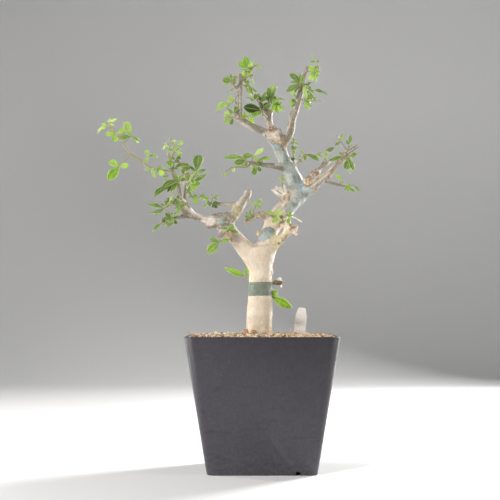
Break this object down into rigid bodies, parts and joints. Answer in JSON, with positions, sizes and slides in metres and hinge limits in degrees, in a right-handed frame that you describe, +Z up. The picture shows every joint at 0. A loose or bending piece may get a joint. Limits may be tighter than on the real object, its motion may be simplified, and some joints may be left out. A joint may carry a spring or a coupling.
{
  "type": "potted commiphora bonsai",
  "caption": "Small commiphora tree with a pale forked trunk, pruned limbs and three-part leaves, growing in grit in a tapered square nursery pot with a blank plant label.",
  "frame": {"origin": "centre of the pot's flat bottom face", "axes": "+Z up along the trunk, -Y out of the pot's front side, +X to the right seen from the front"},
  "size_m": [0.2283, 0.13, 0.3691],
  "materials": {
    "pot": "dark grey moulded plastic, matte with a faint mottle",
    "soil": "dry tan pumice and bark grit",
    "bark": "smooth matte cream bark with grey-green patches",
    "label": "white plastic, slightly weathered",
    "leaf_mature": "matte grey-green leaves",
    "leaf_young": "soft pale yellow-green leaves"
  },
  "bodies": {
    "root": {"pot": "pot", "soil": "soil", "tree_wood": "bark", "label": "label", "spray_far_left": "leaf_young", "spray_upright_tip": "leaf_young", "spray_upright_side": "leaf_mature", "spray_inner_tip": "leaf_mature", "spray_left_front": "leaf_mature", "spray_drooping": "leaf_young", "spray_low_left_leaf": "leaf_mature", "spray_stub_tuft": "leaf_mature", "spray_stub_leaf": "leaf_mature", "spray_elbow_leaf": "leaf_mature", "spray_low_left_tip": "leaf_mature", "spray_low_left_tuft": "leaf_mature", "spray_arm_tip": "leaf_young", "spray_hanging_leaf": "leaf_mature", "spray_knuckle_tuft": "leaf_mature", "spray_arm_leaf": "leaf_young", "spray_arm_tuft": "leaf_mature", "spray_fork_leaf": "leaf_young", "spray_fork_tuft": "leaf_mature", "spray_trunk_left": "leaf_young", "spray_trunk_right": "leaf_young", "spray_post_side": "leaf_mature", "spray_post_top": "leaf_young", "spray_post_droop": "leaf_mature", "spray_post_low": "leaf_mature", "spray_post_foot": "leaf_mature", "spray_foot_right": "leaf_young", "spray_crown_leaf": "leaf_mature", "spray_crown_left": "leaf_mature", "spray_crown_right": "leaf_young", "spray_dark_leaf": "leaf_mature", "spray_right_post_left": "leaf_mature", "spray_right_post_low": "leaf_mature", "spray_top_tuft": "leaf_young", "spray_right_post_right": "leaf_young", "spray_right_post_mid": "leaf_young", "spray_mid_rise": "leaf_mature", "spray_mid_left": "leaf_mature", "spray_mid_trail": "leaf_young", "spray_mid_under": "leaf_mature", "spray_mid_inner": "leaf_mature", "spray_bud_tip": "leaf_young", "spray_bud_leaf": "leaf_mature", "spray_thin_tip": "leaf_mature", "spray_prong_tip": "leaf_young", "spray_tip_rise": "leaf_mature", "spray_tip_left": "leaf_mature", "spray_tip_hang": "leaf_mature", "spray_low_tip": "leaf_young", "spray_low_rise": "leaf_young", "spray_torn_tuft": "leaf_young"}
  },
  "joints": []
}
